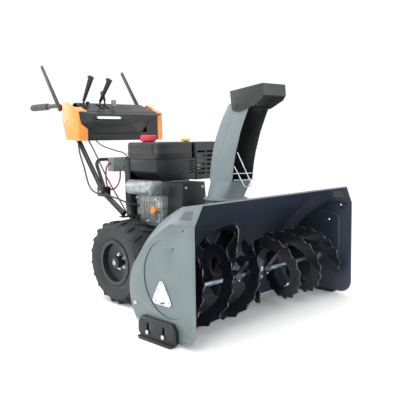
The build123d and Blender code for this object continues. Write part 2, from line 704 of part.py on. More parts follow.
with BuildPart() as muffler_guard:
    block(GUARD_X, GUARD_BACK, GUARD_Z)
    fillet(muffler_guard.edges().filter_by(Axis.Z), 10)
    fillet(muffler_guard.faces().sort_by(Axis.Z)[-1].edges(), 8)
    block((GUARD_X[0] + 3, GUARD_X[1] - 3), (GUARD_BACK[0] + 3, GUARD_BACK[1] - 3),
          (GUARD_Z[0] - 1, GUARD_Z[1] - 3), Mode.SUBTRACT)
    for column in range(2):
        for row in range(6):
            left = GUARD_X[0] + 16 + column * 66
            low = GUARD_Z[0] + 26 + row * 22
            block((left, left + 54), (590, 620), (low, low + 9), Mode.SUBTRACT)
save(muffler_guard, "muffler_guard")

with BuildPart() as muffler:
    rod(at(GUARD_X[0] + 20, 700, 690), at(GUARD_X[1] - 14, 700, 690), 58)
    fillet(muffler.edges(), 8)
    rod(at(130, 700, 632), at(100, 700, 600), 16)
save(muffler, "muffler")

# Fuel tank with a filler neck for each cap

TANK_X = (-200, 55)
TANK_BACK = (600, 840)
TANK_Z = (700, 780)
FUEL_NECK = (-130, 740)
SIDE_NECK = (30, 640)

with BuildPart() as fuel_tank:
    block(TANK_X, TANK_BACK, TANK_Z)
    fillet(fuel_tank.edges().filter_by(Axis.Z), 38)
    fillet(fuel_tank.faces().sort_by(Axis.Z)[-1].edges(), 14)
    with BuildSketch(level(722)) as seam:
        with Locations((sum(TANK_X) / 2, sum(TANK_BACK) / 2)):
            RectangleRounded(TANK_X[1] - TANK_X[0] + 8, TANK_BACK[1] - TANK_BACK[0] + 8, 40)
    extrude(seam.sketch, amount=5)
    rod(at(*FUEL_NECK, TANK_Z[1] - 5), at(*FUEL_NECK, TANK_Z[1] + 16), 28)
    rod(at(*SIDE_NECK, TANK_Z[1] - 5), at(*SIDE_NECK, TANK_Z[1] + 3), 13)
save(fuel_tank, "fuel_tank")

with BuildPart() as fuel_cap:
    rod(at(*FUEL_NECK, TANK_Z[1] + 5), at(*FUEL_NECK, TANK_Z[1] + 34), 38)
    fillet(fuel_cap.faces().sort_by(Axis.Z)[-1].edges(), 6)
    rod(at(*FUEL_NECK, TANK_Z[1] + 4), at(*FUEL_NECK, TANK_Z[1] + 17), 29, Mode.SUBTRACT)
save(fuel_cap, "fuel_cap")

with BuildPart() as side_cap:
    rod(at(*SIDE_NECK, TANK_Z[1] + 3 + GAP), at(*SIDE_NECK, TANK_Z[1] + 16), 22)
    fillet(side_cap.faces().sort_by(Axis.Z)[-1].edges(), 5)
save(side_cap, "side_cap")

# Starter motor beside the block

STARTER = (-208, 562)

with BuildPart() as starter_motor:
    rod(at(STARTER[0], 628, STARTER[1]), at(STARTER[0], 790, STARTER[1]), 36)
    with BuildSketch(wall(604)) as nose:
        with Locations(STARTER):
            RegularPolygon(38, 6)
    extrude(nose.sketch, amount=-24)
    block((STARTER[0] + 20, -140), (700, 780), (545, 580))
save(starter_motor, "starter_motor")

# Handles: lower tubes on brackets over the wheels, upper tubes to the grips, and a bent brace

JOINT = (965, 530)
BRACE_X = 228
BRACE_RADIUS = 9
BRACE_BEND = (1062, 692)
GRIP_BEND = 110

with BuildPart() as lower_handles:
    for way in (-1, 1):
        flange = sorted((way * CHASSIS_HALF, way * (CHASSIS_HALF + 4)))
        shelf = sorted((way * CHASSIS_HALF, way * (HANDLE_X + 22)))
        block(flange, (770, 800), (300, 414))
        block(shelf, (770, 805), (414, 420))
        rod(at(way * HANDLE_X, 795, 430), at(way * HANDLE_X, *JOINT), HANDLE_RADIUS + 1.5)
save(lower_handles, "lower_handles")

rise = (GRIP_Z - JOINT[1]) / 1.282
with BuildPart() as upper_handles:
    for way in (-1, 1):
        start = at(way * HANDLE_X, JOINT[0] + 10, JOINT[1] + 13)
        corner = at(way * HANDLE_X, JOINT[0] + rise, GRIP_Z)
        bent_tube([start, corner, at(way * HANDLE_X, LENGTH - 4, GRIP_Z)], HANDLE_RADIUS, GRIP_BEND)
        rod(at(way * HANDLE_X, *CLUTCH_PIVOT), at(way * (HANDLE_X + 33), *CLUTCH_PIVOT), 4)
save(upper_handles, "upper_handles")

with BuildPart() as handle_brace:
    low = (JOINT[0] + 20, JOINT[1] + 15)
    corners = [at(x, *place) for x, place in
               ((-BRACE_X, low), (-BRACE_X, BRACE_BEND), (BRACE_X, BRACE_BEND), (BRACE_X, low))]
    bent_tube(corners, BRACE_RADIUS, 40)
    for way in (-1, 1):
        span = sorted((way * (BRACE_X - 9), way * (HANDLE_X + 15)))
        block(span, (JOINT[0] - 20, JOINT[0] + 30), (JOINT[1] - 22, JOINT[1] + 26))
save(handle_brace, "handle_brace")

with BuildPart() as handle_grips:
    for way in (-1, 1):
        rod(at(way * HANDLE_X, GRIP_START, GRIP_Z), at(way * HANDLE_X, LENGTH, GRIP_Z), GRIP_RADIUS)
        rod(at(way * HANDLE_X, GRIP_START - 1, GRIP_Z), at(way * HANDLE_X, LENGTH - 4, GRIP_Z), HANDLE_RADIUS,
            mode=Mode.SUBTRACT)
save(handle_grips, "handle_grips")

# Clutch levers over the grips: squeezing one brings it down beside the grip

LEVER_TIP = (1474, 1203)
LEVER_IN = HANDLE_X + 23
LEVER_THICK = 6


def clutch_lever(way):
    """Flat lever on its pivot pin."""
    with BuildPart() as lever:
        with BuildSketch(side(way * LEVER_IN)) as outline:
            with Locations(CLUTCH_PIVOT):
                Circle(14)
            with Locations(LEVER_TIP):
                Circle(11)
            make_hull()
            with Locations(CLUTCH_PIVOT):
                Circle(4 + RUNNING, mode=Mode.SUBTRACT)
        extrude(outline.sketch, amount=way * LEVER_THICK)
    return lever


drive_lever = clutch_lever(1)
save(drive_lever, "drive_lever")
auger_lever = clutch_lever(-1)
save(auger_lever, "auger_lever")

# Console: hollow body between the handles, faceted front panel, headlight and controls

CONSOLE_HALF = 287
CONSOLE_SHEET = 3
CONSOLE_FRONT = 1112
CONSOLE_OUTLINE = ((1112, 792), (1112, 946), (1235, 998), (1262, 985), (1268, 905), (1235, 800))
PIVOT_Z = 905

SPEED_X = -209
CHUTE_X = -103
DEFLECTOR_X = -62
LEVER_BACK = 1185
SWITCH_X = -31
BUTTON_X = -168


def console_solid(inset):
    """Console outline as a solid, inset from its faces."""
    with BuildPart() as solid:
        with BuildSketch(side(-CONSOLE_HALF + inset)) as outline:
            with BuildLine():
                Polyline(*CONSOLE_OUTLINE, close=True)
            make_face()
            if inset:
                offset(amount=-inset)
        extrude(outline.sketch, amount=2 * (CONSOLE_HALF - inset))
    return solid.part


with BuildPart() as console_body:
    add(console_solid(0))
    add(console_solid(CONSOLE_SHEET), mode=Mode.SUBTRACT)
    block((-170, 170), (1100, 1120), (835, 930), Mode.SUBTRACT)
    for x in (SPEED_X, CHUTE_X, DEFLECTOR_X):
        for ear in (x - 14, x + 11):
            block((ear, ear + 3), (LEVER_BACK - 12, LEVER_BACK + 12), (799, PIVOT_Z + 12))
        rod(at(x - 20, LEVER_BACK, PIVOT_Z), at(x + 20, LEVER_BACK, PIVOT_Z), 4 + RUNNING, Mode.SUBTRACT)
        block((x - 9, x + 9), (LEVER_BACK - 40, LEVER_BACK + 36), (930, 1010), Mode.SUBTRACT)
    for x, back in ((SWITCH_X, 1150), (BUTTON_X, 1200)):
        rod(at(x, back, 940), at(x, back, 1010), 4.5, Mode.SUBTRACT)
    for way in (-1, 1):
        rise_foot = at(way * HANDLE_X, JOINT[0] + 10, JOINT[1] + 13)
        rise_top = at(way * HANDLE_X, JOINT[0] + rise, GRIP_Z)
        rod(rise_foot, rise_top, HANDLE_RADIUS + 1, Mode.SUBTRACT)
        slot = sorted((way * 228, way * 272))
        block(slot, (1170, 1290), (925, 1010), Mode.SUBTRACT)
save(console_body, "console_body")

PANEL_BACK = ((-285, 944), (-273, 880), (-186, 824), (120, 824), (172, 880), (284, 944))
PANEL_FACE = ((-246, 932), (-236, 892), (-190, 880), (20, 880), (76, 892), (200, 932))

with BuildPart() as console_panel:
    with BuildSketch(wall(CONSOLE_FRONT)) as base:
        with BuildLine():
            Polyline(*PANEL_BACK, close=True)
        make_face()
    with BuildSketch(wall(CONSOLE_FRONT - 52)) as face:
        with BuildLine():
            Polyline(*PANEL_FACE, close=True)
        make_face()
    loft([base.sketch.face(), face.sketch.face()], ruled=True)
save(console_panel, "console_panel")

with BuildPart() as headlight:
    outline = ((-226, 912), (-206, 899), (-62, 899), (-40, 912), (-62, 925), (-206, 925))
    prism(wall(CONSOLE_FRONT - 52), outline, 8)
    chamfer(headlight.faces().sort_by(Axis.Y)[0].edges(), 3)
save(headlight, "headlight")


def control_lever(x, grip_start, grip_end, low_radius, high_radius):
    """Lever with a tapered grip, on a pin across the console's ears."""
    with BuildPart() as lever:
        rod(at(x - 15, LEVER_BACK, PIVOT_Z), at(x + 15, LEVER_BACK, PIVOT_Z), 4)
        rod(at(x, LEVER_BACK, PIVOT_Z), grip_start, 5)
        cone(grip_start, grip_end, low_radius, high_radius)
        rod(at(x - 10, LEVER_BACK, PIVOT_Z), at(x + 10, LEVER_BACK, PIVOT_Z), 9)
    return lever


speed_lever = control_lever(SPEED_X, at(-209, 1176, 1004), at(-198, 1112, 1127), 8, 15)
save(speed_lever, "speed_lever")
chute_lever = control_lever(CHUTE_X, at(-103, 1176, 1004), at(-76, 1116, 1120), 8, 15)
save(chute_lever, "chute_lever")
deflector_lever = control_lever(DEFLECTOR_X, at(-62, 1192, 1014), at(-68, 1196, 1040), 7, 9)
with BuildPart() as deflector_knob:
    add(deflector_lever.part)
    with Locations(at(-69, 1197, 1050)):
        Sphere(14)
save(deflector_knob, "deflector_lever")

with BuildPart() as light_switch:
    block((SWITCH_X - 12, SWITCH_X + 12), (1140, 1160), (976, 1014))
    fillet(light_switch.edges(), 4)
    rod(at(SWITCH_X, 1150, 955), at(SWITCH_X, 1150, 980), 4)
save(light_switch, "light_switch")

with BuildPart() as start_button:
    rod(at(BUTTON_X, 1200, 990), at(BUTTON_X, 1200, 1003), 10)
    rod(at(BUTTON_X, 1200, 970), at(BUTTON_X, 1200, 991), 4)
save(start_button, "start_button")

# Switch box on the brace

with BuildPart() as switch_box:
    block((-155, -75), (1000, BRACE_BEND[0] - BRACE_RADIUS), (628, 700))
    fillet(switch_box.edges().filter_by(Axis.Y), 8)
save(switch_box, "switch_box")

# Chute: round base that turns on the ring, channel open to the front, and tilting deflector

CHUTE_SHEET = 2.5
BASE_LOW = 511.6
BASE_HIGH = 518
CHANNEL_LOW = 600
CHANNEL_REAR = 376
DEFLECTOR_HINGE = (205, 930)
CAP_HALF = 77
PIN_RADIUS = 4

with BuildPart() as chute_base_ring:
    rod(at(0, CHUTE_BACK, CHUTE_RING_Z), at(0, CHUTE_BACK, BASE_LOW - GAP), 108)
    block((10, 50), (226, 240), (CHUTE_RING_Z - 6, BASE_LOW + 4))
    rod(at(0, CHUTE_BACK, CHUTE_RING_Z - 10), at(0, CHUTE_BACK, 530), 87, Mode.SUBTRACT)
save(chute_base_ring, "chute_base_ring")


def funnel(inset):
    """Solid from the round base to the foot of the channel."""
    front = CHUTE_BACK - 106 + inset
    rear = CHANNEL_REAR - inset
    with BuildPart() as solid:
        with BuildSketch(Plane(at(0, CHUTE_BACK, BASE_HIGH))) as low:
            Circle(86 - inset)
        with BuildSketch(Plane(at(0, (front + rear) / 2, CHANNEL_LOW))) as high:
            RectangleRounded(2 * (CHUTE_HALF - inset), rear - front, 12 - inset)
        loft([low.sketch.face(), high.sketch.face()])
    return solid.part


with BuildPart() as chute:
    with BuildSketch(side(-CHUTE_HALF)) as outline:
        with BuildLine():
            ThreePointArc((CHANNEL_REAR, CHANNEL_LOW), (349, 752), (250, 944))
            Line((250, 944), (140, 922))
            ThreePointArc((140, 922), (205, 770), (CHUTE_BACK - 106, CHANNEL_LOW))
            Line((CHUTE_BACK - 106, CHANNEL_LOW), (CHANNEL_REAR, CHANNEL_LOW))
        make_face()
    extrude(outline.sketch, amount=2 * CHUTE_HALF)
    with BuildSketch(side(-CHUTE_HALF + CHUTE_SHEET)) as inside:
        with BuildLine():
            rear = CHANNEL_REAR - CHUTE_SHEET
            ThreePointArc((rear, CHANNEL_LOW - 1), (349 - CHUTE_SHEET, 751), (250 - CHUTE_SHEET, 946))
            Polyline((250 - CHUTE_SHEET, 946), (90, 946), (90, CHANNEL_LOW - 1), (rear, CHANNEL_LOW - 1))
        make_face()
    extrude(inside.sketch, amount=2 * (CHUTE_HALF - CHUTE_SHEET), mode=Mode.SUBTRACT)
    add(funnel(0))
    rod(at(0, CHUTE_BACK, BASE_LOW), at(0, CHUTE_BACK, BASE_HIGH), 102)
    add(funnel(CHUTE_SHEET), mode=Mode.SUBTRACT)
    rod(at(0, CHUTE_BACK, 500), at(0, CHUTE_BACK, BASE_HIGH), 86 - CHUTE_SHEET, Mode.SUBTRACT)
    rod(at(-90, *DEFLECTOR_HINGE), at(90, *DEFLECTOR_HINGE), PIN_RADIUS + RUNNING, Mode.SUBTRACT)
save(chute, "chute")

with BuildPart() as chute_guard:
    bent_tube([at(-68, 226, 607), at(0, 222, 604), at(68, 226, 604)], 2.5, 60)
    bent_tube([at(-68, 229, 636), at(0, 226, 634), at(68, 228, 632)], 2.5, 60)
    hoop = [at(-52, 222, 730), at(10, 190, 580), at(-18, 208, 572), at(-60, 234, 668)]
    bent_tube(hoop, 2.5, 10)
save(chute_guard, "chute_guard")

with BuildPart() as chute_deflector:
    outline = ((240, 997), (55, 1019), (51, 972), (67, 951), (129, 921), (195, 905), (228, 913), (235, 952))
    prism(side(-CAP_HALF), outline, 2 * CAP_HALF)
    hollow = ((260, 992), (57.5, 1016.3), (53.6, 972), (40, 940), (60, 850), (260, 850))
    prism(side(-CAP_HALF + CHUTE_SHEET), hollow, 2 * (CAP_HALF - CHUTE_SHEET), Mode.SUBTRACT)
    for way in (-1, 1):
        pin_end = at(way * (CAP_HALF + 4), *DEFLECTOR_HINGE)
        rod(at(way * (CHUTE_HALF - 4), *DEFLECTOR_HINGE), pin_end, PIN_RADIUS)
        rod(at(way * CAP_HALF, *DEFLECTOR_HINGE), at(way * (CAP_HALF + 5), *DEFLECTOR_HINGE), 8)
save(chute_deflector, "chute_deflector")

# Fixed bolts: skid shoes, bearing flanges, handle clamps and switch box

with BuildPart() as frame_bolts:
    for way in (-1, 1):
        for back in SHOE_SLOTS:
            start = at(way * HALF, back, SLOT_LOW)
            end_x = way * (HALF + SHOE_THICK + 1)
            rod(start, at(end_x, back, SLOT_LOW), SHOE_BOLT_RADIUS)
            rod(at(end_x, back, SLOT_LOW), at(end_x + way * 6, back, SLOT_LOW), 9)
        for angle in (90, 210, 330):
            place = polar((AUGER_BACK, AUGER_Z), BEARING_BOLTS, angle)
            rod(at(way * (FLOOR_X + 5), *place), at(way * (FLOOR_X + 10), *place), 6)
        outer = way * (HANDLE_X + 15)
        rod(at(outer, JOINT[0], JOINT[1]), at(outer + way * 6, JOINT[0], JOINT[1]), 8)
    for z in (642, 686):
        rod(at(-84, 1000, z), at(-84, 996, z), 4)
save(frame_bolts, "frame_bolts")


# Cables: tubes along hand-placed routes, each with its own smooth arcs

def cable(name, route, radius):
    """Round cable along a route, with each arc as large as its two runs allow."""
    points = [at(*place) for place in route]
    bends = []
    for before, corner, after in zip(points, points[1:], points[2:]):
        turn = (corner - before).get_angle(after - corner)
        shorter = min((corner - before).length, (after - corner).length)
        bends.append(0.45 * shorter / tan(radians(turn / 2)))
    with BuildPart() as tube:
        line = bent_tube(points, radius, bends)
    length = sum(edge.length for edge in line.edges())
    ideal = pi * radius ** 2 * length
    print(name, "length", round(length), "volume ratio", round(tube.part.volume / ideal, 4),
          "radii", [round(bend) for bend in bends])
    save(tube, name)


HARNESS_ROUTE = (
    (-268, 1152, 795), (-275, 1139, 748), (-279, 1114, 703), (-281, 1087, 660), (-280, 1071, 610),
    (-281, 1050, 563), (-282, 1010, 531), (-280, 955, 521), (-265, 905, 516), (-244, 860, 503),
    (-222, 818, 484), (-196, 787, 473), (BLOCK_LEFT, 771, 468),
)
LIGHT_ROUTE = (
    (-166, 1134, 791.5), (-168, 1106, 774), (-166, 1056, 757), (-164, 1003, 747), (-170, 950, 737),
    (-168, 908, 732), (-159, 882, 718), (-152, 876, 696),
)
DRIVE_ROUTE = ((-216, 1131, 792), (-222, 1078, 745), (-232, 966, 612), (-229, 874, 508), (-222, 800, 420))
RED_ROUTE = (
    (-155, 1024, 672), (-177, 1024, 666), (-188, 1023, 640), (-191, 1023, 597), (-187, 1022, 556),
    (-168, 1022, 534), (-143, 1022, 532), (-119, 1022, 547), (-103, 1022, 573), (-96, 1022, 602),
    (-97, 1022, 628),
)

cable("cable_harness", HARNESS_ROUTE, 4)
cable("cable_light", LIGHT_ROUTE, 3)
cable("cable_drive", DRIVE_ROUTE, 3.5)
cable("red_lead", RED_ROUTE, 5)
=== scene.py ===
# %% [markdown]
# # Two stage snowblower
# The working model of the machine, with its shafts, levers and sheet metal at true size, comes in as a
# fixed frame. This lesson dresses it: paints and plastics, pressed and rolled edges, tyre lugs, toothed
# augers, fasteners and cables. Nothing here moves or resizes a working part.

# %% Load the working parts
import json
from math import atan2, cos, degrees, radians, sin, tau

import bpy
from mathutils import Matrix, Vector
from mathutils.bvhtree import BVHTree


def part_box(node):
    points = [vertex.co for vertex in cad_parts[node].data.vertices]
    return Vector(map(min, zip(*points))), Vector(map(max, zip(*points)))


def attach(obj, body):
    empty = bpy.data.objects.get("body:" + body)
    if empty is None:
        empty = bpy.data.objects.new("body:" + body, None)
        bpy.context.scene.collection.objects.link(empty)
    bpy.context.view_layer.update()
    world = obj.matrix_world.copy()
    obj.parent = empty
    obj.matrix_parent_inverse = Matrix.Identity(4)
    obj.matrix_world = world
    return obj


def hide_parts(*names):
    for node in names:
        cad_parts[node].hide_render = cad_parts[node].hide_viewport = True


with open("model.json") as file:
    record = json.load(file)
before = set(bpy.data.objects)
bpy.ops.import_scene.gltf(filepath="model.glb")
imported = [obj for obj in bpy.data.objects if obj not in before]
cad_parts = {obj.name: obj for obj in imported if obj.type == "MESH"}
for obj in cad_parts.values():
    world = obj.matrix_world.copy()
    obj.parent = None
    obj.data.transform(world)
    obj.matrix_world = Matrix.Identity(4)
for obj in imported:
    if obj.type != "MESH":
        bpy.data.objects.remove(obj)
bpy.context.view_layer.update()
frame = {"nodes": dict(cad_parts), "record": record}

NODES = frame["nodes"]

# %% [markdown]
# Everything is placed as on a drawing of the machine: x across it, the distance back from the front
# edge of the auger housing, and the height above the ground, all in millimetres. One function turns
# such a place into Blender's metres.

# %% Places in millimetres
MM = 0.001
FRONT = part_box("side_plate_right")[0].y / MM


def at(x, back, z):
    """Point in metres from a place in millimetres."""
    return Vector((x, FRONT + back, z)) * MM


print("front edge at", round(FRONT, 1), "mm")

# %% [markdown]
# ## Camera
# The machine is seen from its front right corner, a little above the wheels, with a long lens so that
# the housing's far end doesn't shrink. The camera hangs on a short list of facts: where it aims, how
# far away it is, and its two angles. A slight roll levels the ground line.

# %% Camera
AIM = Vector((-0.014, -0.320, 0.497))
DISTANCE = 2.822
AZIMUTH = radians(-44.59)
ELEVATION = radians(6.0)
ROLL = radians(-0.958)
LENS = 52.36

backwards = Vector((sin(AZIMUTH) * cos(ELEVATION), -cos(AZIMUTH) * cos(ELEVATION), sin(ELEVATION)))
level_right = (-backwards).cross(Vector((0, 0, 1))).normalized()
level_up = level_right.cross(-backwards)
right = level_right * cos(ROLL) + level_up * sin(ROLL)
up = level_up * cos(ROLL) - level_right * sin(ROLL)

camera = bpy.data.objects.new("camera", bpy.data.cameras.new("camera"))
camera.data.lens = LENS
camera.data.clip_start = 0.05
turn = Matrix((right, up, backwards)).transposed().to_4x4()
camera.matrix_world = Matrix.Translation(AIM + backwards * DISTANCE) @ turn
bpy.context.scene.collection.objects.link(camera)
bpy.context.scene.camera = camera
print("camera at", [round(value, 3) for value in camera.matrix_world.translation])

# %% [markdown]
# ## Materials
# Each finish starts from what the real part is made of and how its surface was made. Paints are sRGB
# hex values, turned to linear light by one function. A second function adds a shader node with its
# settings and links, so a recipe reads from top to bottom. Patterns are sized from real millimetres
# on Object coordinates, which are metres here, so 1000 / size gives a noise scale.

# %% Colour and node helpers
def paint(code):
    """Linear RGBA from an sRGB hex value."""
    parts = [int(code[place:place + 2], 16) / 255 for place in (0, 2, 4)]
    linear = [part / 12.92 if part <= 0.04045 else ((part + 0.055) / 1.055) ** 2.4 for part in parts]
    return (*linear, 1.0)


def add_node(tree, kind, sockets=None, **settings):
    """Adds a node with its settings; sockets gives values, or other nodes' outputs to link."""
    node = tree.nodes.new(kind)
    for name, value in settings.items():
        setattr(node, name, value)
    for socket, value in (sockets or {}).items():
        if isinstance(value, bpy.types.NodeSocket):
            tree.links.new(value, node.inputs[socket])
        else:
            node.inputs[socket].default_value = value
    return node


def new_finish(name, **surface):
    """New material with its main shader; surface gives the shader's uniform values."""
    material = bpy.data.materials.new(name)
    material.use_nodes = True
    tree = material.node_tree
    shader = tree.nodes["Principled BSDF"]
    for socket, value in surface.items():
        shader.inputs[socket.replace("_", " ")].default_value = value
    return material, tree, shader


def patterned(name, light, dark, grain, bump, rough, blotch=70, gloss_range=0.08, **surface):
    """Finish with slow colour drift between two hex paints and a fine bump.

    grain is the bump's size and bump its height, blotch the size of the colour drift, in mm."""
    material, tree, shader = new_finish(name, **surface)
    place = add_node(tree, "ShaderNodeTexCoord").outputs["Object"]
    drift = add_node(tree, "ShaderNodeTexNoise",
                     {"Vector": place, "Scale": 1 / (blotch * MM), "Detail": 4.0})
    steps = add_node(tree, "ShaderNodeValToRGB", {"Fac": drift.outputs["Fac"]})
    steps.color_ramp.elements[0].position = 0.35
    steps.color_ramp.elements[0].color = paint(dark)
    steps.color_ramp.elements[1].position = 0.65
    steps.color_ramp.elements[1].color = paint(light)
    tree.links.new(steps.outputs["Color"], shader.inputs["Base Color"])
    gloss = add_node(tree, "ShaderNodeMapRange",
                     {"Value": drift.outputs["Fac"], "To Min": rough - gloss_range,
                      "To Max": rough + gloss_range})
    tree.links.new(gloss.outputs["Result"], shader.inputs["Roughness"])
    fine = add_node(tree, "ShaderNodeTexNoise",
                    {"Vector": place, "Scale": 1 / (grain * MM), "Detail": 2.0})
    relief = add_node(tree, "ShaderNodeBump", {"Height": fine.outputs["Fac"], "Distance": bump * MM,
                                               "Strength": 1.0})
    tree.links.new(relief.outputs["Normal"], shader.inputs["Normal"])
    return material, tree, shader, steps, place


# %% [markdown]
# The sheet steel is powder coated: charged powder melts into one skin with a faint orange peel about
# 2 mm across. The silver powder holds metal flakes, so it is part metallic and lightens towards the
# light. Inside the housing the faces turned into the hollow get a dark blue-black coat.

# %% Powder coats
silver_coat = patterned("silver_powder_coat", "6F7C7E", "667375", 2.2, 0.02, 0.42, blotch=160,
                        Metallic=0.35, Coat_Weight=0.12, Coat_Roughness=0.3)[0]
inner_coat = patterned("blue_black_powder_coat", "363F4F", "2E3643", 2.2, 0.03, 0.36, blotch=200,
                       Coat_Weight=0.2, Coat_Roughness=0.25)[0]
chute_coat = patterned("grey_powder_coat", "798588", "717D80", 2.2, 0.02, 0.5, blotch=160,
                       Metallic=0.15)[0]
deflector_coat = patterned("graphite_powder_coat", "2B2D2D", "232525", 1.8, 0.04, 0.45, blotch=120)[0]
frame_coat = patterned("black_powder_coat", "181A1C", "121315", 1.8, 0.04, 0.4, blotch=120,
                       Coat_Weight=0.15, Coat_Roughness=0.3)[0]
print("powder coats", silver_coat.name, inner_coat.name, chute_coat.name)

# %% [markdown]
# Bare and plated metals. Zinc plate is a thin bright skin with cloudy patches. Turned and drawn steel
# has fine lines along the bar. Die cast aluminium keeps the mould's gritty skin, and bronze is warm and
# cut smooth. All keep the default metal IOR and get their look from colour and roughness.

# %% Metals
zinc_plate = patterned("bright_zinc_plate", "E2E6EA", "C4CAD0", 4.0, 0.02, 0.28, blotch=18,
                       Metallic=1.0)[0]
drawn_steel = patterned("drawn_steel_bar", "AEB8C6", "8C97A8", 3.0, 0.02, 0.3, blotch=30,
                        Metallic=1.0)[0]
cast_aluminium = patterned("die_cast_aluminium", "AFB7B6", "8F9796", 1.6, 0.16, 0.46, blotch=22,
                           gloss_range=0.1, Metallic=0.75)[0]
cast_iron = patterned("painted_cast_iron", "2B2F38", "1E222A", 2.4, 0.2, 0.42, blotch=30,
                      Coat_Weight=0.3, Coat_Roughness=0.25)[0]
bronze = patterned("bronze_casting", "B08A4C", "94703A", 2.0, 0.06, 0.35, blotch=20, Metallic=1.0)[0]
print("metals", zinc_plate.name, drawn_steel.name, cast_aluminium.name)

# %% [markdown]
# Plastics are injection moulded. The mould's spark-eroded skin leaves a matt grain under a millimetre,
# drawn here at 1.5 mm so that it shows. The tank is blow moulded and smoother. Rubber is softer still:
# no coat, high roughness, and a slow drift of tone.

# %% Plastics and rubber
black_plastic = patterned("black_moulded_plastic", "191B1D", "131517", 1.5, 0.06, 0.46, blotch=90)[0]
tank_plastic = patterned("black_blow_moulded_tank", "1E2122", "181B1C", 3.0, 0.03, 0.4, blotch=120)[0]
orange_plastic = patterned("orange_moulded_plastic", "F59A4A", "EC8E40", 1.5, 0.05, 0.42, blotch=120,
                           Coat_Weight=0.15)[0]
orange_cap = patterned("orange_cap_plastic", "E8892B", "D97A20", 1.5, 0.04, 0.4, blotch=30)[0]
red_plastic = patterned("red_cap_plastic", "E23A4E", "D22F43", 1.5, 0.04, 0.38, blotch=40)[0]
yellow_plastic = patterned("yellow_cap_plastic", "E7D04A", "D8C03A", 1.5, 0.04, 0.38, blotch=30)[0]
grey_plastic = patterned("grey_switch_plastic", "7B8484", "6C7575", 1.5, 0.05, 0.45, blotch=40)[0]
grip_rubber = patterned("grey_grip_rubber", "505556", "464B4C", 1.2, 0.12, 0.72, blotch=40)[0]
belt_rubber = patterned("ribbed_belt_rubber", "1E1E1F", "161617", 1.2, 0.1, 0.8, blotch=30)[0]
tyre_rubber = patterned("tyre_rubber", "282B2D", "1E2122", 2.6, 0.12, 0.62, blotch=60,
                        gloss_range=0.1)[0]
cable_jacket = patterned("black_cable_jacket", "2F3234", "242628", 1.6, 0.05, 0.5, blotch=30)[0]
red_jacket = patterned("red_cable_jacket", "B32032", "9C1A2A", 1.6, 0.05, 0.4, blotch=30)[0]
print("plastics and rubber", black_plastic.name, orange_plastic.name, tyre_rubber.name)

# %% [markdown]
# Auger enamel is a thick gloss coat, dipped and baked, that snow polishes. Its edges carry a painted
# highlight of bright steel, which outlines every tooth as a glint would. The Bevel node finds those
# edges:
# where its rounded normal leaves the true one, the finish turns from enamel to the painted highlight.

# %% Enamel with painted edge glints
def enamel_with_painted_glints(name, light, dark, edge_mm, glint_from, glint_to):
    """Gloss enamel with a painted highlight of bright bare-steel colour along edges, in a band about
    edge_mm wide.
    """
    material, tree, shader, steps, place = patterned(name, light, dark, 3.0, 0.04, 0.3, blotch=60,
                                                     Coat_Weight=0.4, Coat_Roughness=0.12)
    rounded = add_node(tree, "ShaderNodeBevel", {"Radius": edge_mm * MM}, samples=4)
    flat = add_node(tree, "ShaderNodeNewGeometry")
    match = add_node(tree, "ShaderNodeVectorMath",
                     {0: rounded.outputs["Normal"], 1: flat.outputs["Normal"]}, operation="DOT_PRODUCT")
    glint_mask = add_node(tree, "ShaderNodeMapRange", {"Value": match.outputs["Value"], "From Min": glint_to,
                                                 "From Max": glint_from, "To Min": 1.0, "To Max": 0.0})
    # painted highlight: the edge band takes the bright steel colour B9BEC4 and full metal, standing in
    # for edge glints
    bare = add_node(tree, "ShaderNodeMix", {"Factor": glint_mask.outputs["Result"], 6: steps.outputs["Color"],
                                            7: paint("B9BEC4")}, data_type="RGBA")
    tree.links.new(bare.outputs[2], shader.inputs["Base Color"])
    tree.links.new(glint_mask.outputs["Result"], shader.inputs["Metallic"])
    return material


# auger enamel with the painted edge highlight along every tooth
auger_enamel = enamel_with_painted_glints("black_enamel_painted_glints", "15181E", "0D0F14", 1.4, 0.97, 0.80)
print("enamel", auger_enamel.name)

# %% [markdown]
# The lamp's lens is clear polycarbonate over a white reflector, moulded in small cells. Seen unlit in
# daylight it reads as bright white with a grey lattice, so the cells are drawn with a Voronoi pattern
# about 9 mm across and a weak glow keeps it white against the black panel.

# %% Lamp lens
LENS_CELL = 9 * MM
lamp_lens, lens_tree, lens_shader = new_finish("clear_lamp_lens", Roughness=0.12, Coat_Weight=1.0,
                                               Emission_Strength=0.45)
lens_place = add_node(lens_tree, "ShaderNodeTexCoord").outputs["Object"]
cells = add_node(lens_tree, "ShaderNodeTexVoronoi", {"Vector": lens_place, "Scale": 1 / LENS_CELL,
                                                     "Randomness": 0.25}, feature="DISTANCE_TO_EDGE")
lattice = add_node(lens_tree, "ShaderNodeValToRGB", {"Fac": cells.outputs["Distance"]})
lattice.color_ramp.elements[0].color = paint("7E8A90")
lattice.color_ramp.elements[1].position = 0.16
lattice.color_ramp.elements[1].color = paint("F6FAFC")
lens_tree.links.new(lattice.outputs["Color"], lens_shader.inputs["Base Color"])
lens_tree.links.new(lattice.outputs["Color"], lens_shader.inputs["Emission Color"])
print("lens", lamp_lens.name)

# %% [markdown]
# The record gives every working part a slot, and each slot has one finish. Parts that keep their own
# mesh get it here, and new pieces ask for it by the same name.

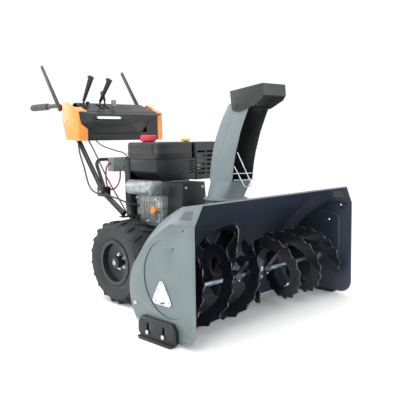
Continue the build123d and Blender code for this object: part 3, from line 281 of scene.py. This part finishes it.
# %% Finish for each slot
FINISHES = {
    "silver_paint": silver_coat, "grey_paint": chute_coat, "dark_grey_paint": deflector_coat,
    "black_paint": frame_coat, "zinc": zinc_plate, "steel": drawn_steel, "cast_case": cast_iron,
    "bronze": bronze, "cast_aluminium": cast_aluminium, "black_plastic": black_plastic,
    "tank_plastic": tank_plastic, "orange_plastic": orange_plastic, "orange_cap": orange_cap,
    "red_plastic": red_plastic, "yellow_plastic": yellow_plastic, "grey_plastic": grey_plastic,
    "lens": lamp_lens, "grip_rubber": grip_rubber, "belt_rubber": belt_rubber,
    "cable_jacket": cable_jacket, "red_jacket": red_jacket, "tyre_rubber": tyre_rubber,
}
SLOT_OF = {part["node"]: part["material_slot"] for part in frame["record"]["subparts"]}
for node, part in NODES.items():
    part.data.materials.clear()
    part.data.materials.append(FINISHES[SLOT_OF[node]])
print("finished", len(SLOT_OF), "working parts in", len(FINISHES), "finishes")

# %% [markdown]
# ## Studio
# A plain pale sweep under the machine and soft light: a broad overhead box for the tops, a key from the
# front right corner, a fill along the housing's mouth and a pale surround for the metal to mirror.

# %% Floor and lights
floor_white, _, _ = new_finish("studio_floor", Base_Color=paint("FFFFFF"), Roughness=0.9)
bpy.ops.mesh.primitive_plane_add(size=40)
floor = bpy.context.active_object
floor.name = "studio_floor"
floor.data.materials.append(floor_white)


def soft_box(name, place, size, power):
    """Square area light that faces the machine's middle."""
    box = bpy.data.objects.new(name, bpy.data.lights.new(name, "AREA"))
    box.data.size = size
    box.data.energy = power
    box.location = place
    box.rotation_euler = (Vector(place) - Vector((0, 0, 0.45))).to_track_quat("Z", "Y").to_euler()
    bpy.context.scene.collection.objects.link(box)
    return box


soft_box("overhead_box", (-0.6, 0.2, 3.6), 3.0, 70)
soft_box("key_box", (-3.2, -1.6, 2.2), 1.8, 46)
soft_box("mouth_fill", (1.4, -3.6, 1.5), 1.8, 26)
soft_box("rear_box", (-1.2, 3.4, 1.8), 1.8, 30)
surround = bpy.data.worlds.new("pale_surround")
surround.use_nodes = True
surround.node_tree.nodes["Background"].inputs["Color"].default_value = (1, 1, 1, 1)
surround.node_tree.nodes["Background"].inputs["Strength"].default_value = 1.08
bpy.context.scene.world = surround
bpy.context.scene.view_settings.view_transform = "Standard"

# %% [markdown]
# ## Cables
# Three black cables run from under the console: the wiring harness down the right handle tube to the
# engine, the lamp lead to the blower housing, and the drive cable straight to its bracket. Each is one
# NURBS curve through the points where it is clipped or bends, with order 3 set after the points exist,
# and a round bevel gives it its thickness.

# %% Cable routes
HARNESS_ROUTE = (
    (-268, 1152, 795), (-275, 1139, 748), (-279, 1114, 703), (-281, 1087, 660), (-280, 1071, 610),
    (-281, 1050, 563), (-282, 1010, 531), (-280, 955, 521), (-265, 905, 516), (-244, 860, 503),
    (-222, 818, 484), (-196, 787, 473), (-172, 771, 468),
)
LIGHT_ROUTE = (
    (-166, 1134, 791.5), (-168, 1106, 774), (-166, 1056, 757), (-164, 1003, 747), (-170, 950, 737),
    (-168, 908, 732), (-159, 882, 718), (-152, 876, 696),
)
DRIVE_ROUTE = (
    (-216, 1131, 792), (-222, 1078, 745), (-232, 966, 612), (-229, 874, 508), (-222, 800, 420),
)
RED_ROUTE = (
    (-155, 1024, 672), (-177, 1024, 666), (-188, 1023, 640), (-191, 1023, 597), (-187, 1022, 556),
    (-168, 1022, 534), (-143, 1022, 532), (-119, 1022, 547), (-103, 1022, 573), (-96, 1022, 602),
    (-97, 1022, 628),
)


def smooth_line(name, points, radius):
    """NURBS curve along points in metres; radius 0 leaves it a bare line."""
    curve = bpy.data.curves.new(name, "CURVE")
    curve.dimensions = "3D"
    spline = curve.splines.new("NURBS")
    spline.points.add(len(points) - 1)
    for knot, point in zip(spline.points, points):
        knot.co = (*point, 1.0)
    spline.order_u = 3
    spline.use_endpoint_u = True
    spline.resolution_u = 8
    curve.bevel_depth = radius
    curve.bevel_resolution = 3
    curve.use_fill_caps = radius > 0
    line = bpy.data.objects.new(name, curve)
    bpy.context.scene.collection.objects.link(line)
    return line


def cable(node, route, radius):
    """Cable in place of a working node; all sizes in mm."""
    points = [at(*place) for place in route]
    line = smooth_line(node + "_jacket", points, radius * MM)
    line.data.materials.append(FINISHES[SLOT_OF[node]])
    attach(line, "machine")
    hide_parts(node)
    return line


cable("cable_harness", HARNESS_ROUTE, 4)
cable("cable_light", LIGHT_ROUTE, 3)
cable("cable_drive", DRIVE_ROUTE, 3.5)
print("cables", len(HARNESS_ROUTE), len(LIGHT_ROUTE), len(DRIVE_ROUTE), "points")

# %% [markdown]
# The red safety lead is a curly cord: a thin wire wound like a spring, so that it stretches when the
# operator wears its clip. Its middle line comes from a bare NURBS curve along its route. A loop then
# walks along that line and adds the points of the helix, twelve to a turn.

# %% Curly safety lead
CURL_RADIUS = 3.3 * MM
CURL_PITCH = 4.4 * MM
WIRE_RADIUS = 1.7 * MM
CURL_STEPS = 12

guide = smooth_line("lead_guide", [at(*place) for place in RED_ROUTE], 0)
guide_mesh = bpy.data.meshes.new_from_object(guide)
trail = [vertex.co.copy() for vertex in guide_mesh.vertices]
bpy.data.objects.remove(guide)

helix = [trail[0]]
phase = 0.0
across = Vector((0, 1, 0))
for start, end in zip(trail, trail[1:]):
    along = (end - start).normalized()
    beside = along.cross(across).normalized()
    steps = max(1, round((end - start).length / (CURL_PITCH / CURL_STEPS)))
    for step in range(steps):
        phase += (end - start).length / steps / CURL_PITCH * tau
        centre = start.lerp(end, (step + 1) / steps)
        helix.append(centre + (across * cos(phase) + beside * sin(phase)) * CURL_RADIUS)
helix.append(trail[-1])

red_wire = smooth_line("red_lead_wire", helix, WIRE_RADIUS)
red_wire.data.splines[0].resolution_u = 2
red_wire.data.bevel_resolution = 1
red_wire.data.materials.append(red_jacket)
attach(red_wire, "machine")
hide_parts("red_lead")

# %% [markdown]
# ## Modelling helpers
# New pieces are built with Blender's own operators. An operator acts on everything that is selected,
# so each piece starts from an empty selection. Faces and edges are chosen by their place or direction,
# and each finished piece gets its transform applied, a finish and the body that carries it.

# %% Selecting and finishing
def start_piece(name, adder, **settings):
    """Adds a primitive with nothing else selected, and names it."""
    if bpy.context.object and bpy.context.object.mode == "EDIT":
        bpy.ops.object.mode_set(mode="OBJECT")
    bpy.ops.object.select_all(action="DESELECT")
    adder(**settings)
    piece = bpy.context.active_object
    piece.name = name
    piece.data.name = name
    return piece


def only(piece):
    """Makes piece the one selected and active object."""
    bpy.ops.object.select_all(action="DESELECT")
    piece.hide_viewport = False
    piece.select_set(True)
    bpy.context.view_layer.objects.active = piece


def edit(piece, faces=None, edges=None):
    """Enters edit mode with the faces or edges that pass a test selected, or everything."""
    only(piece)
    mode = "FACE" if faces else "EDGE" if edges else "VERT"
    bpy.ops.object.mode_set(mode="EDIT")
    bpy.ops.mesh.select_mode(type=mode)
    bpy.ops.mesh.select_all(action="SELECT" if not (faces or edges) else "DESELECT")
    bpy.ops.object.mode_set(mode="OBJECT")
    mesh = piece.data
    if faces:
        for face in mesh.polygons:
            face.select = bool(faces(face.center, face.normal))
    if edges:
        for edge in mesh.edges:
            ends = [mesh.vertices[index].co for index in edge.vertices]
            edge.select = bool(edges(*ends))
    bpy.ops.object.mode_set(mode="EDIT")


def leave_edit():
    bpy.ops.object.mode_set(mode="OBJECT")


def apply_transform(piece):
    only(piece)
    bpy.ops.object.transform_apply(location=True, rotation=True, scale=True)


def modify(piece, kind, **settings):
    """Adds a modifier and applies it."""
    only(piece)
    modifier = piece.modifiers.new(kind.lower(), kind)
    for name, value in settings.items():
        setattr(modifier, name, value)
    bpy.ops.object.modifier_apply(modifier=modifier.name)


def round_edges(piece, width, segments=2, angle=32):
    """Rounds edges sharper than angle by width in mm and shades the flats flat."""
    modify(piece, "BEVEL", width=width * MM, segments=segments, limit_method="ANGLE",
           angle_limit=radians(angle), use_clamp_overlap=True)
    only(piece)
    bpy.ops.object.shade_smooth_by_angle(angle=radians(angle))


def merge(name, parts):
    """Joins pieces into one object; pieces without a finish take the first one's."""
    for part in parts[1:]:
        for finish in [] if part.data.materials else parts[0].data.materials:
            part.data.materials.append(finish)
    only(parts[0])
    for part in parts[1:]:
        part.select_set(True)
    bpy.ops.object.join()
    whole = bpy.context.active_object
    whole.name = name
    whole.data.name = name
    return whole


def copy_piece(piece, name, matrix):
    """Copy with its own mesh, moved by a matrix that is applied to the mesh."""
    twin = bpy.data.objects.new(name, piece.data.copy())
    bpy.context.scene.collection.objects.link(twin)
    twin.data.transform(matrix)
    if matrix.is_negative:
        twin.data.flip_normals()
    return twin


def about(centre, axis, angle):
    """Matrix that turns about an axis through centre."""
    return Matrix.Translation(centre) @ Matrix.Rotation(angle, 4, axis) @ Matrix.Translation(-centre)


MIRROR = Matrix.Scale(-1, 4, (1, 0, 0))


def deliver(piece, body, slot, finish=None, stands_for=()):
    """Last step of every piece: transform applied, a finish (the slot's, unless it has one), body and
    the nodes it stands for.
    """
    apply_transform(piece)
    if not piece.data.materials:
        piece.data.materials.append(finish or FINISHES[slot])
    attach(piece, body)
    if stands_for:
        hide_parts(*stands_for)
    print(piece.name, "faces", len(piece.data.polygons), "on", body)
    return piece


def merged_copy(node, name, flat=4):
    """Copy of a working part with its loose triangles merged into clean faces."""
    twin = copy_piece(NODES[node], name, Matrix.Identity(4))
    twin.parent = None
    for key in list(twin.keys()):
        del twin[key]
    edit(twin)
    bpy.ops.mesh.remove_doubles(threshold=0.00002)
    bpy.ops.mesh.dissolve_limited(angle_limit=radians(flat))
    leave_edit()
    if twin.data.has_custom_normals:
        only(twin)
        bpy.ops.mesh.customdata_custom_splitnormals_clear()
    return twin


print("helpers ready")

# %% [markdown]
# ## Rounded working parts
# A sheared plate, a casting and a moulding all have rounded edges, and it is the thin highlight along
# them that makes a part look real. These parts have the right shape already, so a copy of each is
# merged into clean faces and gets its edges rounded by the radius its process leaves.

# %% Rounded copies
BODY_OF = {node: body for body, members in frame["record"]["behaviour"]["bodies"].items()
           for node in members}
ROUNDING = {
    "scraper_bar": 1.0, "chassis_frame": 1.5, "belt_cover": 3.0, "fuel_tank": 2.0, "muffler_guard": 2.5,
    "snow_shield": 2.0, "engine_shroud": 2.5, "engine_block": 2.5, "console_panel": 2.5,
    "skid_left": 2.0, "skid_right": 2.0, "gearbox_case": 2.5, "chute_deflector": 1.0,
    "starter_motor": 2.0, "switch_box": 2.0, "lower_handles": 1.2, "auger_bearings": 1.2,
    "frame_bolts": 0.7, "impeller_fan": 1.2, "wheel_rims": 1.2, "chute_base_ring": 0.8,
    "drive_lever": 1.5, "auger_lever": 1.5, "handle_brace": 1.2,
    "speed_lever": 1.0, "chute_lever": 1.0, "deflector_lever": 1.0, "recoil_handle": 2.0,
    "light_switch": 0.8, "start_button": 0.8,
}
for node, width in ROUNDING.items():
    rounded = merged_copy(node, node + "_finished")
    round_edges(rounded, width)
    deliver(rounded, BODY_OF[node], SLOT_OF[node], stands_for=[node])

# %% [markdown]
# ## Two-tone sheets
# The housing is a folded sheet, silver outside and blue-black on the faces turned into the hollow. A
# copy of each sheet is merged and its cut edges are rounded. Every face that looks back at the middle
# of the hollow gets the dark coat, so the thin front edge stays silver as it does on the machine.

# %% Two-tone sheets
def clamped(low, high):
    """Gives, for any place, the nearest place inside the box from low to high."""
    return lambda place: Vector([min(max(place[i], low[i]), high[i]) for i in range(3)])


def chute_middle(place):
    """Middle of the chute channel at the height of a place; the channel leans forward as it rises."""
    height = place.z / MM
    return at(0, 307 - max(0, height - 600) * 0.34, height)


def two_tone(node, middle, width, outside, inside):
    """Rounds a copy of a sheet part and coats the faces that look towards its middle."""
    sheet = merged_copy(node, node + "_finished")
    round_edges(sheet, width)
    sheet.data.materials.clear()
    sheet.data.materials.append(outside)
    sheet.data.materials.append(inside)
    for face in sheet.data.polygons:
        outwards = (face.center - middle(face.center)).normalized()
        face.material_index = int(face.normal.dot(outwards) < -0.1)
    deliver(sheet, BODY_OF[node], SLOT_OF[node], stands_for=[node])
    print(node, "dark faces", sum(face.material_index for face in sheet.data.polygons))


housing_middle = clamped(at(-450, 150, 230), at(450, 151, 231))
for node in ("auger_housing", "side_plate_left", "side_plate_right"):
    two_tone(node, housing_middle, 0.8, silver_coat, inner_coat)
two_tone("impeller_drum", clamped(at(0, 300, 230), at(1, 460, 231)), 0.8, silver_coat, inner_coat)
two_tone("chute", chute_middle, 0.6, chute_coat, deflector_coat)

# %% [markdown]
# ## Toothed auger ribbons
# Each ribbon is cut from plate with saw teeth along its outer edge, then pulled into a helix. A copy
# of each ribbon is merged, its outer edge is divided finely, and the divisions are drawn inwards to
# give eighteen teeth a turn. Both starts and both sides get their teeth from the same rule.

# %% Toothed ribbons
AUGER_AXIS = at(0, 190, 185)
TOOTH_TURN = 20
TOOTH_DEPTH = 14 * MM
TOOTH_RISE = 0.7
TOOTH_FALL = 0.3
RIM_FROM = 165.5 * MM
ACROSS_PLATE = 6 * MM


def spoke(place, axis):
    """Line from a left-right axis straight out to a place."""
    return Vector((0, place.y - axis.y, place.z - axis.z))


def on_rim(start, end):
    reach = min(spoke(start, AUGER_AXIS).length, spoke(end, AUGER_AXIS).length)
    return reach > RIM_FROM and (start - end).length > ACROSS_PLATE


for side in ("left", "right"):
    ribbon = merged_copy("auger_flights_" + side, "auger_ribbons_" + side, flat=0.01)
    edit(ribbon, edges=on_rim)
    bpy.ops.mesh.subdivide(number_cuts=4)
    leave_edit()
    for vertex in ribbon.data.vertices:
        out = spoke(vertex.co, AUGER_AXIS)
        if out.length > RIM_FROM:
            along = degrees(atan2(out.z, out.y)) / TOOTH_TURN % 1
            bite = min(along / TOOTH_RISE, (1 - along) / TOOTH_FALL)
            vertex.co -= out.normalized() * TOOTH_DEPTH * bite
    only(ribbon)
    bpy.ops.object.shade_smooth_by_angle(angle=radians(30))
    ribbon.data.materials.clear()
    deliver(ribbon, "auger", "black_paint", auger_enamel, stands_for=["auger_flights_" + side])

# %% [markdown]
# ## Lugged tyres
# A snow tyre is a smooth carcass with chunky lugs moulded in two staggered rows. The carcass is the
# working tyre drawn in to the bottom of its tread. One lug is modelled, tapered and rounded, and
# copied around in two rows that lean towards each other.

# %% Lugged tyres
TYRE_AXIS = at(0, 766, 203)
TREAD_FLOOR = 188 * MM
DRAW_IN = 0.8
LUGS = 20
LUG_SIZE = (72 * MM, 29 * MM, 24 * MM)
LUG_CENTRE = 188.5
LUG_LEAN = radians(22)
lug = start_piece("lug", bpy.ops.mesh.primitive_cube_add, size=1)
lug.scale = LUG_SIZE
apply_transform(lug)
edit(lug, faces=lambda centre, normal: normal.z > 0.9)
bpy.ops.transform.resize(value=(0.86, 0.76, 1), center_override=(0, 0, 12 * MM))
leave_edit()
round_edges(lug, 2.4, 1)
carcass = merged_copy("tyre_left", "tyre_left_lugged", flat=1)
for vertex in carcass.data.vertices:
    out = spoke(vertex.co, TYRE_AXIS)
    if out.length > TREAD_FLOOR:
        vertex.co -= out.normalized() * (out.length - TREAD_FLOOR) * DRAW_IN
only(carcass)
bpy.ops.object.shade_smooth_by_angle(angle=radians(35))
tread = [carcass]
for row, way in ((226.5, 1), (308.5, -1)):
    for count in range(LUGS):
        turned = Matrix.Rotation(way * LUG_LEAN, 4, "Z")
        set_out = Matrix.Translation(at(row, 766, 203 + LUG_CENTRE)) @ turned
        angle = radians(360 / LUGS * (count + (0.5 if way < 0 else 0)))
        tread.append(copy_piece(lug, "lug_%d_%d" % (row, count), about(TYRE_AXIS, "X", angle) @ set_out))
bpy.data.objects.remove(lug)
left_tyre = merge("tyre_left_lugged", tread)
right_tyre = copy_piece(left_tyre, "tyre_right_lugged", MIRROR)
deliver(left_tyre, "wheels", "tyre_rubber", stands_for=["tyre_left"])
deliver(right_tyre, "wheels", "tyre_rubber", stands_for=["tyre_right"])

# %% [markdown]
# ## Flanged hex screws
# The covers, the crankcase and the hubs are held by plated hex screws. One head is made from a
# six-sided bar on a round flange with its corners turned off. A straight line is cast at each working
# part to find its surface, so every copy sits on the metal and square to it.

# %% Flanged hex screws
flange = start_piece("flange", bpy.ops.mesh.primitive_cylinder_add, vertices=20, radius=0.85, depth=0.16,
                     location=(0, 0, 0.08))
head = start_piece("head", bpy.ops.mesh.primitive_cylinder_add, vertices=6, radius=0.577, depth=0.55,
                   location=(0, 0, 0.42))
apply_transform(flange)
apply_transform(head)
edit(head, faces=lambda centre, normal: normal.z > 0.9)
bpy.ops.mesh.inset(thickness=0.06, depth=0.06)
leave_edit()
screw = merge("screw", [flange, head])
SURFACES = {}


def surface(node):
    """Search tree of a working part, kept so each part is read once."""
    if node not in SURFACES:
        mesh = NODES[node].data
        SURFACES[node] = BVHTree.FromPolygons([vertex.co for vertex in mesh.vertices],
                                              [face.vertices for face in mesh.polygons])
    return SURFACES[node]


def screws(name, node, direction, size, places):
    """Copies of the screw where lines cast at a part from each place meet it."""
    copies = []
    for place in places:
        hit, normal, _, _ = surface(node).ray_cast(at(*place), Vector(direction))
        if hit is None:
            print(name, "missed from", place)
            continue
        seat = Matrix.Translation(hit) @ normal.to_track_quat("Z", "Y").to_matrix().to_4x4()
        copies.append(copy_piece(screw, name, seat @ Matrix.Scale(size * MM, 4)))
    deliver(merge(name, copies), BODY_OF[node], "zinc")


def ring(count, radius, start=0):
    """Places evenly around a circle, as pairs of offsets."""
    turns = [radians(start + 360 * index / count) for index in range(count)]
    return [(radius * cos(turn), radius * sin(turn)) for turn in turns]


screws("crankcase_screws", "engine_block", (1, 0, 0), 11,
       [(-400, back, z) for back, z in ((636, 392), (636, 506), (710, 392), (785, 392), (785, 506))])
screws("shroud_screws", "engine_shroud", (0, -1, 0), 9,
       [(-50 + a, 1000, 470 + b) for a, b in ring(6, 138, 30)])
screws("belt_cover_screws", "belt_cover", (0, 1, 0), 9,
       [(-106, 440, 562), (2, 440, 562), (-112, 440, 440)])
screws("gearbox_screws", "gearbox_case", (0, 1, 0), 8,
       [(a * 0.7, 0, 185 + b) for a, b in ring(6, 30, 30)])
for side, way in (("left", 1), ("right", -1)):
    screws("side_plate_screws_" + side, "side_plate_" + side, (-way, 0, 0), 9,
           [(way * 700, 330, 60), (way * 700, 352, 130)])
screws("hub_screws", "wheel_rims", (-1, 0, 0), 12, [(420, 766 + a, 203 + b) for a, b in ring(5, 34)])
screws("hub_screws_right", "wheel_rims", (1, 0, 0), 12,
       [(-420, 766 + a, 203 + b) for a, b in ring(5, 34)])
screws("console_screws", "console_body", (1, 0, 0), 8, [(-420, 1160, 900), (-420, 1240, 900)])
bpy.data.objects.remove(screw)

# %% [markdown]
# ## Ribs: caps, grips and crankcase
# The filler caps are moulded with ribs so a gloved hand can turn them, the rubber grips have raised
# rings, and the crankcase is cast with stiffening ribs beside the starter. Each rib is modelled once,
# rounded and copied.

# %% Ribs
def ribbed_cap(node, centre, radius, low, high, count):
    """Copy of a cap with upright ribs around its side."""
    rib = start_piece("rib", bpy.ops.mesh.primitive_cube_add, size=1)
    rib.scale = (3.2 * MM, 3.4 * MM, (high - low) * MM)
    apply_transform(rib)
    round_edges(rib, 0.8, 1)
    cap = merged_copy(node, node + "_ribbed")
    round_edges(cap, 1.8)
    axis = at(*centre, (low + high) / 2)
    set_out = Matrix.Translation(axis + Vector((radius * MM, 0, 0)))
    copies = [copy_piece(rib, "rib", about(axis, "Z", radians(360 * index / count)) @ set_out)
              for index in range(count)]
    bpy.data.objects.remove(rib)
    deliver(merge(node + "_ribbed", [cap] + copies), BODY_OF[node], SLOT_OF[node], stands_for=[node])


ribbed_cap("fuel_cap", (-130, 740), 38, 788, 811, 24)
ribbed_cap("side_cap", (30, 640), 22, 785, 795, 18)

GRIP_X = 252
GRIP_HEIGHT = 987
RINGS = 11
RING_STEP = 13
collar = start_piece("collar", bpy.ops.mesh.primitive_cylinder_add, vertices=32, radius=19.2 * MM,
                     depth=5 * MM, rotation=(radians(90), 0, 0))
apply_transform(collar)
round_edges(collar, 1.2, 1, 60)
ring_places = [at(way * GRIP_X, 1490 + RING_STEP * index, GRIP_HEIGHT)
               for way in (-1, 1) for index in range(RINGS)]
collars = [copy_piece(collar, "collar", Matrix.Translation(place)) for place in ring_places]
bpy.data.objects.remove(collar)
deliver(merge("grip_rings", collars), BODY_OF["handle_grips"], "grip_rubber")

case_rib = start_piece("case_rib", bpy.ops.mesh.primitive_cube_add, size=1)
case_rib.scale = (10 * MM, 5 * MM, 84 * MM)
apply_transform(case_rib)
round_edges(case_rib, 1.6, 2)
case_ribs = [copy_piece(case_rib, "case_rib", Matrix.Translation(at(-172, 656 + 19 * index, 450)))
             for index in range(5)]
bpy.data.objects.remove(case_rib)
deliver(merge("crankcase_ribs", case_ribs), BODY_OF["engine_block"], "cast_aluminium")

# %% [markdown]
# ## Headlight
# The lamp is a clear moulding set into a black frame. The front of a copy of the lamp is inset and
# pushed back, and everything but the window is given the black plastic of the panel.

# %% Headlight
lamp = merged_copy("headlight", "headlight_framed")
edit(lamp, faces=lambda centre, normal: normal.y < -0.9)
bpy.ops.mesh.inset(thickness=3 * MM, depth=0)
bpy.ops.mesh.inset(thickness=0.8 * MM, depth=-2 * MM)
leave_edit()
lamp.data.materials.clear()
lamp.data.materials.append(lamp_lens)
lamp.data.materials.append(black_plastic)
fronts = [face for face in lamp.data.polygons if face.normal.y < -0.9]
window = max(fronts, key=lambda face: face.area).index
for face in lamp.data.polygons:
    face.material_index = int(face.index != window)
deliver(lamp, BODY_OF["headlight"], SLOT_OF["headlight"], stands_for=["headlight"])

# %% [markdown]
# ## Console cowl
# The console is an orange moulding with a dark cowl laid over its middle, so orange shows only at the
# ends. A copy of the body is cut straight through where the cowl begins and ends, and everything
# between the cuts takes the cowl's black plastic.

# %% Console cowl
COWL = (-232, 252)
cowled = merged_copy("console_body", "console_body_cowled")
for edge_x in COWL:
    edit(cowled)
    bpy.ops.mesh.bisect(plane_co=at(edge_x, 0, 0), plane_no=(1, 0, 0))
    leave_edit()
round_edges(cowled, 1.2)
cowled.data.materials.clear()
cowled.data.materials.append(orange_plastic)
cowled.data.materials.append(black_plastic)
for face in cowled.data.polygons:
    face.material_index = int(COWL[0] * MM < face.center.x < COWL[1] * MM)
deliver(cowled, BODY_OF["console_body"], SLOT_OF["console_body"], stands_for=["console_body"])

# %% [markdown]
# ## Lever knobs
# The speed, chute and deflector levers end in grips that are wide at the top. Each is turned from one
# cylinder, widened at the top, dished and rounded, and it moves with its own lever.

# %% Lever knobs
TIP_POINTS = 12
for node in ("speed_lever", "chute_lever", "deflector_lever"):
    places = [vertex.co.copy() for vertex in NODES[node].data.vertices]
    places.sort(key=lambda place: place.z)
    tips = places[-TIP_POINTS:]
    tip = sum(tips, Vector()) / len(tips)
    knob = start_piece(node + "_knob", bpy.ops.mesh.primitive_cylinder_add, vertices=28, radius=9.5 * MM,
                       depth=20 * MM, location=tip - Vector((0, 0, 12 * MM)))
    apply_transform(knob)
    edit(knob, faces=lambda centre, normal: normal.z > 0.9)
    bpy.ops.transform.resize(value=(1.3, 1.15, 1), center_override=tip)
    bpy.ops.mesh.inset(thickness=2 * MM, depth=1.2 * MM)
    leave_edit()
    round_edges(knob, 1.6, 2)
    deliver(knob, BODY_OF[node], "black_plastic")
    print(node, "tip at", [round(value / MM) for value in tip])
